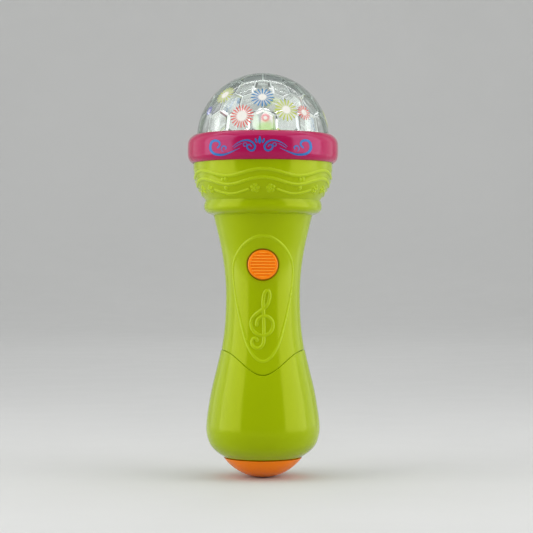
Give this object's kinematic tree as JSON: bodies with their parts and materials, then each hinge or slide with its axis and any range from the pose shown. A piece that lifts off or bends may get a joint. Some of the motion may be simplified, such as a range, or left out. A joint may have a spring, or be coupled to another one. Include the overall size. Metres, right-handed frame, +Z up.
{
  "type": "toy microphone",
  "caption": "Toy microphone with a clear faceted light dome in a ring, a cup-shaped head, a waisted handle with a push button and a rounded end cap.",
  "frame": {"origin": "middle of the small flat at the bottom of the end cap", "axes": "+Z up along the handle towards the light dome, -Y towards the front with the push button, +X to the right seen from the front"},
  "size_m": [0.08, 0.08, 0.215],
  "materials": {
    "green_plastic": "glossy lime green moulding",
    "magenta_plastic": "glossy magenta moulding",
    "orange_plastic": "glossy orange moulding",
    "clear_plastic": "clear faceted moulding",
    "white_plastic": "matt white moulding",
    "black_plastic": "matt black moulding",
    "circuit_board": "green solder mask",
    "plated_steel": "bright plated steel",
    "silicone": "translucent grey silicone",
    "foam": "black foam",
    "cone_paper": "black coated paper",
    "led_red": "tinted clear epoxy",
    "led_green": "tinted clear epoxy",
    "led_blue": "tinted clear epoxy",
    "red_insulation": "red wire insulation",
    "black_insulation": "black wire insulation",
    "white_insulation": "white wire insulation",
    "cell_wrap": "dark printed wrap on a steel can"
  },
  "bodies": {
    "body": {"battery_box": "black_plastic", "battery_left": "cell_wrap", "battery_right": "cell_wrap", "bezel_ring": "magenta_plastic", "board_screw_lower": "plated_steel", "board_screw_upper": "plated_steel", "board_socket_lower": "white_plastic", "board_socket_upper": "white_plastic", "body_front_shell": "green_plastic", "body_rear_shell": "green_plastic", "body_screw_cup_left": "plated_steel", "body_screw_cup_right": "plated_steel", "body_screw_waist_left": "plated_steel", "body_screw_waist_right": "plated_steel", "button_pad": "silicone", "capacitor": "black_plastic", "contact_plate_left": "plated_steel", "contact_plate_right": "plated_steel", "contact_spring_left": "plated_steel", "contact_spring_right": "plated_steel", "dome_cover": "clear_plastic", "end_cap": "orange_plastic", "handle_sleeve": "green_plastic", "led_blue": "led_blue", "led_board": "circuit_board", "led_board_screw_left": "plated_steel", "led_board_screw_right": "plated_steel", "led_green": "led_green", "led_post": "white_plastic", "led_red": "led_red", "light_deck": "white_plastic", "main_board": "circuit_board", "power_switch_housing": "plated_steel", "sound_chip": "black_plastic", "speaker_cone": "cone_paper", "speaker_frame": "plated_steel", "speaker_gasket": "foam", "speaker_magnet": "plated_steel", "wire_battery_black": "black_insulation", "wire_battery_red": "red_insulation", "wire_led": "white_insulation", "wire_speaker_1": "red_insulation", "wire_speaker_2": "black_insulation", "wire_switch_1": "red_insulation", "wire_switch_2": "white_insulation"},
    "button": {"button_cap": "orange_plastic"},
    "power_knob": {"power_switch_knob": "black_plastic"},
    "door": {"battery_door": "green_plastic", "battery_door_screw": "plated_steel"}
  },
  "joints": [
    {"name": "button_press", "type": "slide", "parent": "body", "child": "button", "axis": [0, 1, 0], "range_m": [0, 0.0015], "stiffness_N_per_m": 700, "springref_m": -0.0005, "deforming": ["button_pad"]},
    {"name": "power_switch_slide", "type": "slide", "parent": "body", "child": "power_knob", "axis": [0, 0, 1], "range_m": [0, 0.003]},
    {"name": "battery_door_open", "type": "hinge", "parent": "body", "child": "door", "pos_m": [0, 0.0286, 0.017], "axis": [-1, 0, 0], "range_deg": [0, 75]}
  ]
}
